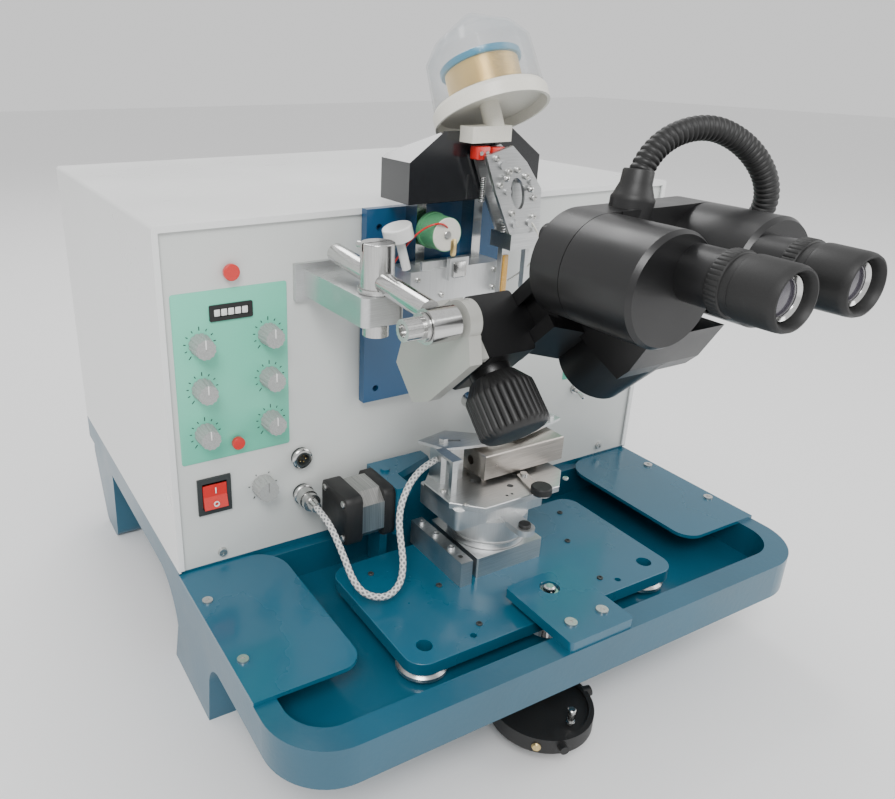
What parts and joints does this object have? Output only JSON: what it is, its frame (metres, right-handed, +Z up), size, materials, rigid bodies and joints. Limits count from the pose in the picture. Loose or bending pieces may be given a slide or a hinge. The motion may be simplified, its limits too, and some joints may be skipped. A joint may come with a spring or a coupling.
{
  "type": "wire bonder",
  "caption": "Bench wire bonder: hooded console on a cast base with work stage, bond head, wire spool, lever manipulator and arm-mounted stereo microscope",
  "frame": {"origin": "on the bench, in the middle of the bounding box between the hood's back and the eyepieces' rims", "axes": "X to the operator's right, Y away from the operator, Z up"},
  "size_m": [0.48, 0.634, 0.5088],
  "materials": {
    "casting_enamel": "teal blue gloss enamel on a casting",
    "plate_enamel": "teal blue gloss enamel on aluminium plate",
    "hood_enamel": "white satin enamel on sheet",
    "panel_enamel": "light grey fine-textured enamel on sheet",
    "bare_steel": "nickelled steel",
    "screw_steel": "bright screws",
    "bare_aluminium": "bare milled aluminium",
    "head_aluminium": "bare aluminium, worn",
    "bracket_silver": "satin plate",
    "puck_black": "black turned hand puck",
    "stage_steel": "ground steel",
    "table_plate": "turned and ground plate",
    "heater_brass": "heat-tinted block",
    "board_and_core": "laminated core and board",
    "black_plastic": "black moulding",
    "knob_grey": "grey fluted moulding",
    "knob_black": "black ribbed moulding",
    "button_red": "red push button and rocker",
    "motor_black": "black end caps over bare punchings",
    "coil_green": "green coil former",
    "cable_braid": "braided sleeve, white and grey",
    "cream_plastic": "cream moulding",
    "white_plastic": "white knob",
    "shroud_black": "smoked gloss sheet",
    "spool_gold": "gold wire on a blue-flanged spool",
    "clear_cover": "clear moulding",
    "scope_black": "black satin enamel on aluminium",
    "lamp_black": "black ribbed sleeve",
    "eyepiece_black": "black eyepiece with nickelled ring"
  },
  "bodies": {
    "base": {"base_casting": "casting_enamel", "cover_plates": "plate_enamel", "screws": "screw_steel", "hood": "hood_enamel", "front_panel": "panel_enamel", "display_windows": "black_plastic", "panel_fittings": "black_plastic", "power_supply": "board_and_core", "bridge_tab": "plate_enamel", "feed_bracket": "plate_enamel", "stepper_motor": "motor_black", "cable_plug": "bare_steel", "heater_cable": "cable_braid", "head_mount_plate": "plate_enamel", "lift_coil": "coil_green", "head_guides": "bare_steel", "wire_clamp": "bare_aluminium", "shroud": "shroud_black", "spool_base": "cream_plastic", "arm_block": "bare_aluminium"},
    "rocker": {"rocker": "button_red"},
    "reset_button": {"reset_button": "button_red"},
    "test_button": {"test_button": "button_red"},
    "brightness_knob": {"brightness_knob": "knob_grey"},
    "right_knob": {"right_knob": "knob_grey"},
    "cross_slide": {"cross_slide": "bare_aluminium"},
    "platform": {"platform": "plate_enamel", "platform_glides": "bare_steel", "stage_blocks": "stage_steel"},
    "table": {"rotary_ring": "stage_steel", "work_table": "table_plate", "heater_block": "heater_brass", "work_clamp": "bare_steel"},
    "clamp_lever": {"clamp_lever": "bare_steel"},
    "lever_gimbal": {"lever_gimbal": "bare_steel"},
    "lever": {"manipulator_lever": "bare_steel", "manipulator_puck": "puck_black"},
    "carriage": {"head_carriage": "head_aluminium", "transducer": "bare_steel"},
    "head_knob": {"head_knob": "white_plastic"},
    "wire_spool": {"wire_spool": "spool_gold"},
    "spool_cover": {"spool_cover": "clear_cover"},
    "post": {"post_clamp": "bare_steel"},
    "rod": {"arm_rod": "bare_steel"},
    "tilt_knob": {"tilt_knob": "bare_steel"},
    "tilt": {"tilt_bracket": "bracket_silver", "focus_block": "scope_black"},
    "focus_knob": {"focus_knob": "knob_black"},
    "scope": {"microscope_body": "scope_black", "gooseneck_lamp": "lamp_black"},
    "left_drum": {"left_drum": "scope_black"},
    "right_drum": {"right_drum": "scope_black"},
    "left_eyepiece": {"left_eyepiece": "eyepiece_black"},
    "right_eyepiece": {"right_eyepiece": "eyepiece_black"},
    "knob_1": {"knob_1": "knob_grey"},
    "knob_2": {"knob_2": "knob_grey"},
    "knob_3": {"knob_3": "knob_grey"},
    "knob_4": {"knob_4": "knob_grey"},
    "knob_5": {"knob_5": "knob_grey"},
    "knob_6": {"knob_6": "knob_grey"}
  },
  "joints": [
    {"name": "rocker_tilt", "type": "hinge", "parent": "base", "child": "rocker", "pos_m": [-0.207, -0.014, 0.1657], "axis": [1, 0, 0], "range_deg": [0, 14]},
    {"name": "knob_1_turn", "type": "hinge", "parent": "base", "child": "knob_1", "pos_m": [-0.211, -0.015, 0.2895], "axis": [0, -1, 0], "range_deg": [-150, 150]},
    {"name": "knob_2_turn", "type": "hinge", "parent": "base", "child": "knob_2", "pos_m": [-0.158, -0.015, 0.2895], "axis": [0, -1, 0], "range_deg": [-150, 150]},
    {"name": "knob_3_turn", "type": "hinge", "parent": "base", "child": "knob_3", "pos_m": [-0.211, -0.015, 0.255], "axis": [0, -1, 0], "range_deg": [-150, 150]},
    {"name": "knob_4_turn", "type": "hinge", "parent": "base", "child": "knob_4", "pos_m": [-0.158, -0.015, 0.255], "axis": [0, -1, 0], "range_deg": [-150, 150]},
    {"name": "knob_5_turn", "type": "hinge", "parent": "base", "child": "knob_5", "pos_m": [-0.211, -0.015, 0.219], "axis": [0, -1, 0], "range_deg": [-150, 150]},
    {"name": "knob_6_turn", "type": "hinge", "parent": "base", "child": "knob_6", "pos_m": [-0.158, -0.015, 0.219], "axis": [0, -1, 0], "range_deg": [-150, 150]},
    {"name": "brightness_turn", "type": "hinge", "parent": "base", "child": "brightness_knob", "pos_m": [-0.1665, -0.015, 0.1633], "axis": [0, -1, 0], "range_deg": [-150, 150]},
    {"name": "right_knob_turn", "type": "hinge", "parent": "base", "child": "right_knob", "pos_m": [0.2, -0.015, 0.212], "axis": [0, -1, 0], "range_deg": [-150, 150]},
    {"name": "reset_press", "type": "slide", "parent": "base", "child": "reset_button", "axis": [0, 1, 0], "range_m": [0, 0.002], "stiffness_N_per_m": 300},
    {"name": "test_press", "type": "slide", "parent": "base", "child": "test_button", "axis": [0, 1, 0], "range_m": [0, 0.002], "stiffness_N_per_m": 300},
    {"name": "lever_tilt_x", "type": "hinge", "parent": "base", "child": "lever_gimbal", "pos_m": [0.003, -0.168, 0.103], "axis": [1, 0, 0], "range_deg": [-9, 9]},
    {"name": "lever_tilt_y", "type": "hinge", "parent": "lever_gimbal", "child": "lever", "pos_m": [0.003, -0.168, 0.103], "axis": [0, 1, 0], "range_deg": [-9, 9]},
    {"name": "slide_y", "type": "slide", "parent": "base", "child": "cross_slide", "axis": [0, 1, 0], "range_m": [-0.0022, 0.0022], "deforming": ["heater_cable"]},
    {"name": "slide_x", "type": "slide", "parent": "cross_slide", "child": "platform", "axis": [1, 0, 0], "range_m": [-0.0022, 0.0022], "deforming": ["heater_cable"]},
    {"name": "table_turn", "type": "hinge", "parent": "platform", "child": "table", "pos_m": [0.005, -0.086, 0.112], "axis": [0, 0, 1], "range_deg": [-12, 12], "deforming": ["heater_cable"]},
    {"name": "clamp_lever_turn", "type": "hinge", "parent": "table", "child": "clamp_lever", "pos_m": [0.031, -0.097, 0.161], "axis": [0, 0, 1], "range_deg": [-25, 10]},
    {"name": "head_lift", "type": "slide", "parent": "base", "child": "carriage", "axis": [0, 0, 1], "range_m": [-0.004, 0.004]},
    {"name": "head_knob_turn", "type": "hinge", "parent": "carriage", "child": "head_knob", "pos_m": [-0.057, -0.051, 0.32], "axis": [-0.29, 0, 0.957], "range_deg": [-150, 150]},
    {"name": "spool_turn", "type": "hinge", "parent": "base", "child": "wire_spool", "pos_m": [0, -0.06, 0.441], "axis": [0, 0.4695, 0.8829], "continuous": true},
    {"name": "spool_cover_lift", "type": "slide", "parent": "base", "child": "spool_cover", "axis": [0, 0.4695, 0.8829], "range_m": [0, 0.08]},
    {"name": "arm_swivel", "type": "hinge", "parent": "base", "child": "post", "pos_m": [-0.113, -0.095, 0.334], "axis": [0, 0, 1], "range_deg": [-20, 2]},
    {"name": "arm_slide", "type": "slide", "parent": "post", "child": "rod", "axis": [0, -0.9962, -0.0872], "range_m": [-0.01, 0.014]},
    {"name": "tilt_knob_turn", "type": "hinge", "parent": "rod", "child": "tilt_knob", "pos_m": [-0.113, -0.164, 0.333], "axis": [1, 0, 0], "range_deg": [-60, 60]},
    {"name": "arm_tilt", "type": "hinge", "parent": "rod", "child": "tilt", "pos_m": [-0.113, -0.164, 0.333], "axis": [1, 0, 0], "range_deg": [-10, 8]},
    {"name": "focus_slide", "type": "slide", "parent": "tilt", "child": "scope", "axis": [0, -0.7071, 0.7071], "range_m": [-0.01, 0.01]},
    {"name": "focus_knob_turn", "type": "hinge", "parent": "tilt", "child": "focus_knob", "pos_m": [-0.06, -0.137, 0.306], "axis": [0, -0.7071, -0.7071], "range_deg": [-100, 100]},
    {"name": "left_drum_turn", "type": "hinge", "parent": "scope", "child": "left_drum", "pos_m": [-0.027, -0.215, 0.366], "axis": [0, -1, 0], "range_deg": [-10, 10]},
    {"name": "right_drum_turn", "type": "hinge", "parent": "scope", "child": "right_drum", "pos_m": [0.055, -0.215, 0.366], "axis": [0, -1, 0], "range_deg": [-10, 10]},
    {"name": "left_eyepiece_turn", "type": "hinge", "parent": "left_drum", "child": "left_eyepiece", "pos_m": [-0.014, -0.275, 0.375], "axis": [0, -1, 0], "range_deg": [-60, 60]},
    {"name": "right_eyepiece_turn", "type": "hinge", "parent": "right_drum", "child": "right_eyepiece", "pos_m": [0.042, -0.275, 0.375], "axis": [0, -1, 0], "range_deg": [-60, 60]}
  ],
  "couplings": [
    {"joint": "slide_y", "follows": "lever_tilt_x", "m_per_rad": 0.014},
    {"joint": "slide_x", "follows": "lever_tilt_y", "m_per_rad": -0.014},
    {"joint": "focus_knob_turn", "follows": "focus_slide", "rad_per_m": 166.7},
    {"joint": "right_drum_turn", "follows": "left_drum_turn", "ratio": -1}
  ]
}
